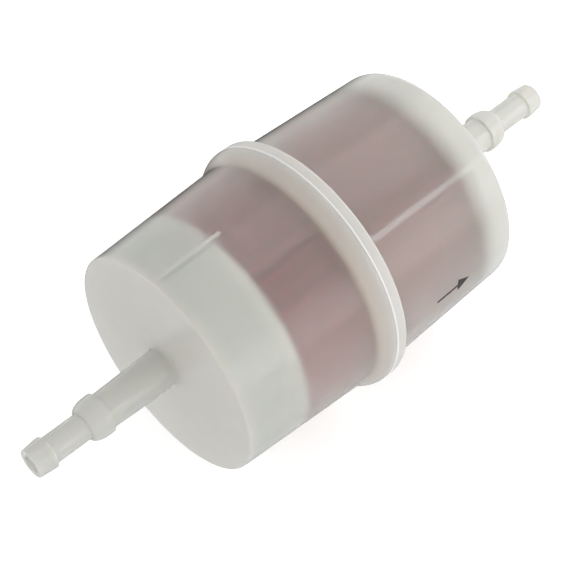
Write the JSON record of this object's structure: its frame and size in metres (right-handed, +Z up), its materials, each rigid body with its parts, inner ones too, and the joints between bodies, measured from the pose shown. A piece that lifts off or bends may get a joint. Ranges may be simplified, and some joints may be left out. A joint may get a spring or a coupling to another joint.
{
  "type": "fuel filter",
  "caption": "Translucent in-line fuel filter: cup halves joined at a mid flange around a pleated paper element, with a stepped hose nozzle at each end.",
  "frame": {"origin": "centre of the inlet nozzle's tip, on the filter's axis", "axes": "+X along the axis in the flow direction, from inlet to outlet; +Z up with the filter lying level"},
  "size_m": [0.1463, 0.0594, 0.0594],
  "materials": {
    "shell_plastic": "milky translucent natural plastic, satin",
    "paper_fibre": "matt resin-treated filter paper, pinkish brown",
    "clip_steel": "bare strip steel",
    "core_plastic": "off-white moulded plastic",
    "cap_plastic": "off-white moulded plastic",
    "potting_resin": "cast adhesive, slightly yellow",
    "seal_rubber": "black fuel-resistant rubber"
  },
  "bodies": {
    "root": {"inlet_shell": "shell_plastic", "outlet_shell": "shell_plastic", "filter_paper": "paper_fibre", "pleat_seam_clip": "clip_steel", "core_tube": "core_plastic", "inlet_end_cap": "cap_plastic", "outlet_end_cap": "cap_plastic", "inlet_potting": "potting_resin", "outlet_potting": "potting_resin", "outlet_seal_ring": "seal_rubber"}
  },
  "joints": []
}
